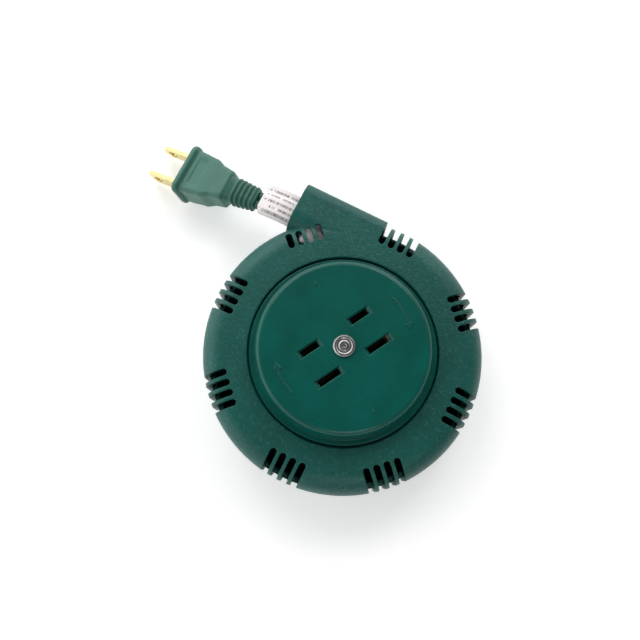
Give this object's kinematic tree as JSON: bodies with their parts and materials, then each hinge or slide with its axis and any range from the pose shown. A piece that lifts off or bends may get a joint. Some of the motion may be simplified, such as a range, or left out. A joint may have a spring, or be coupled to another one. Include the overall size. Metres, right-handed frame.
{
  "type": "hand-wound extension cord reel with outlets",
  "caption": "Round hand-wound cord reel: vented shells, turning hub disc with polarised blade outlets, and a short tail with a moulded blade plug leaving a tangential spout.",
  "frame": {"origin": "on the hub axis, at the flat back that the reel lies on", "axes": "+Z along the hub axis, out of the outlets; the spout and the plug point along -X, on the +Y side"},
  "size_m": [0.1626, 0.1084, 0.0387],
  "materials": {
    "shell_plastic": "spark-eroded satin, dark teal green",
    "disc_plastic": "semi-gloss, dark green",
    "spool_plastic": "plain moulded, black",
    "plug_vinyl": "soft moulded vinyl, grey green",
    "cord_vinyl": "ribbed twin-lead jacket, dark green",
    "tag_paper": "printed plasticised paper, off-white",
    "pin_steel": "turned and nickel plated",
    "screw_steel": "zinc plated",
    "blade_brass": "stamped, bright",
    "contact_brass": "stamped spring brass",
    "core_copper": "bare stranded copper",
    "carrier_plastic": "moulded phenolic, ivory",
    "line_insulation": "black wire insulation",
    "neutral_insulation": "white wire insulation",
    "bridge_plastic": "hard nylon, natural"
  },
  "bodies": {
    "housing": {"front_shell": "shell_plastic", "rear_shell": "shell_plastic", "shell_screws": "screw_steel", "centre_pin": "pin_steel", "thrust_washer": "spool_plastic"},
    "hub": {"outlet_cover": "disc_plastic", "spool": "spool_plastic", "hub_screws": "screw_steel", "contact_carrier": "carrier_plastic", "line_bus": "contact_brass", "neutral_bus": "contact_brass", "line_crimp": "contact_brass", "neutral_crimp": "contact_brass", "line_hub_wire": "line_insulation", "neutral_hub_wire": "neutral_insulation", "cord_winding": "cord_vinyl", "cord_tail": "cord_vinyl", "tail_clip": "spool_plastic"},
    "cord_end": {"cord_lead": "cord_vinyl", "warning_tag": "tag_paper", "strain_relief": "plug_vinyl", "plug_body": "plug_vinyl", "blade_bridge": "bridge_plastic", "line_blade": "blade_brass", "neutral_blade": "blade_brass", "line_plug_wire": "core_copper", "neutral_plug_wire": "core_copper"}
  },
  "joints": [
    {"name": "hub_spin", "type": "hinge", "parent": "housing", "child": "hub", "pos_m": [0, 0, 0], "axis": [0, 0, 1], "range_deg": [0, 3240]},
    {"name": "cord_pull", "type": "slide", "parent": "housing", "child": "cord_end", "axis": [-1, 0, 0], "range_m": [0, 1.674], "deforming": ["cord_lead"]}
  ],
  "couplings": [
    {"joint": "cord_pull", "follows": "hub_spin", "m_per_rad": 0.0296}
  ]
}
